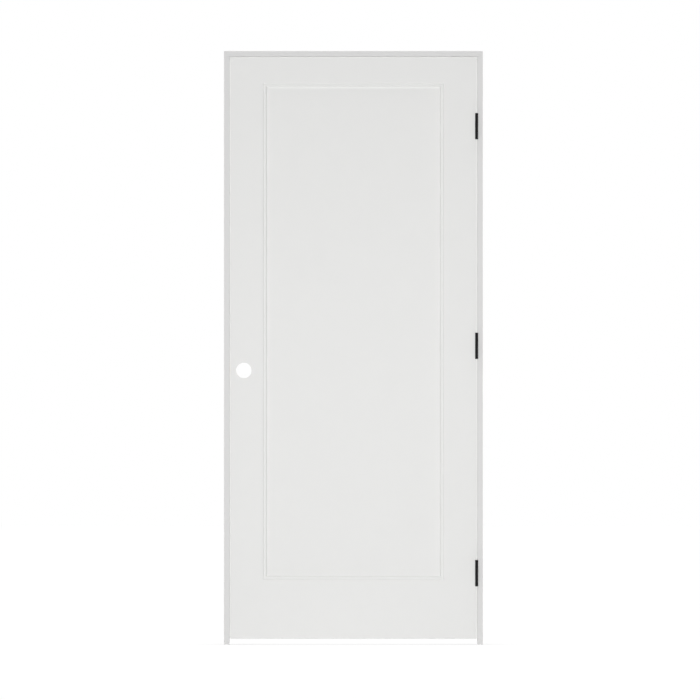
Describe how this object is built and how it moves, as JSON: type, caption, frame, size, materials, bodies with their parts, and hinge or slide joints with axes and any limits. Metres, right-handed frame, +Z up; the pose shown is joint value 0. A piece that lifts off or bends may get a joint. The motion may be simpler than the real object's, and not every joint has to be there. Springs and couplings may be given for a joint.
{
  "type": "prehung interior door",
  "caption": "Flat-panel interior door leaf hung on butt hinges in a flat jamb frame with stops, bored for a lock, swinging towards its pull side.",
  "frame": {"origin": "floor level on the back face of the hinge jamb, midway through the wall", "axes": "+X out of the hinge jamb's back into the wall, +Y from the pull side to the push side, +Z up"},
  "size_m": [0.905, 0.1373, 2.076],
  "materials": {
    "leaf_primer": "smooth white primer on fibreboard",
    "jamb_primer": "white primer on jointed pine",
    "hinge_black": "matte black coating on steel"
  },
  "bodies": {
    "frame": {"hinge_jamb": "jamb_primer", "strike_jamb": "jamb_primer", "head_jamb": "jamb_primer", "hinge_side_stop": "jamb_primer", "strike_side_stop": "jamb_primer", "head_stop": "jamb_primer", "bottom_hinge_jamb_leaf": "hinge_black", "bottom_hinge_pin": "hinge_black", "bottom_hinge_tip": "hinge_black", "middle_hinge_jamb_leaf": "hinge_black", "middle_hinge_pin": "hinge_black", "middle_hinge_tip": "hinge_black", "top_hinge_jamb_leaf": "hinge_black", "top_hinge_pin": "hinge_black", "top_hinge_tip": "hinge_black"},
    "door": {"hinge_stile": "leaf_primer", "lock_stile": "leaf_primer", "top_rail": "leaf_primer", "bottom_rail": "leaf_primer", "panel": "leaf_primer", "bottom_hinge_door_leaf": "hinge_black", "middle_hinge_door_leaf": "hinge_black", "top_hinge_door_leaf": "hinge_black"}
  },
  "joints": [
    {"name": "door_swing", "type": "hinge", "parent": "frame", "child": "door", "pos_m": [-0.0215, -0.0739, 0], "axis": [0, 0, 1], "range_deg": [0, 180]}
  ]
}
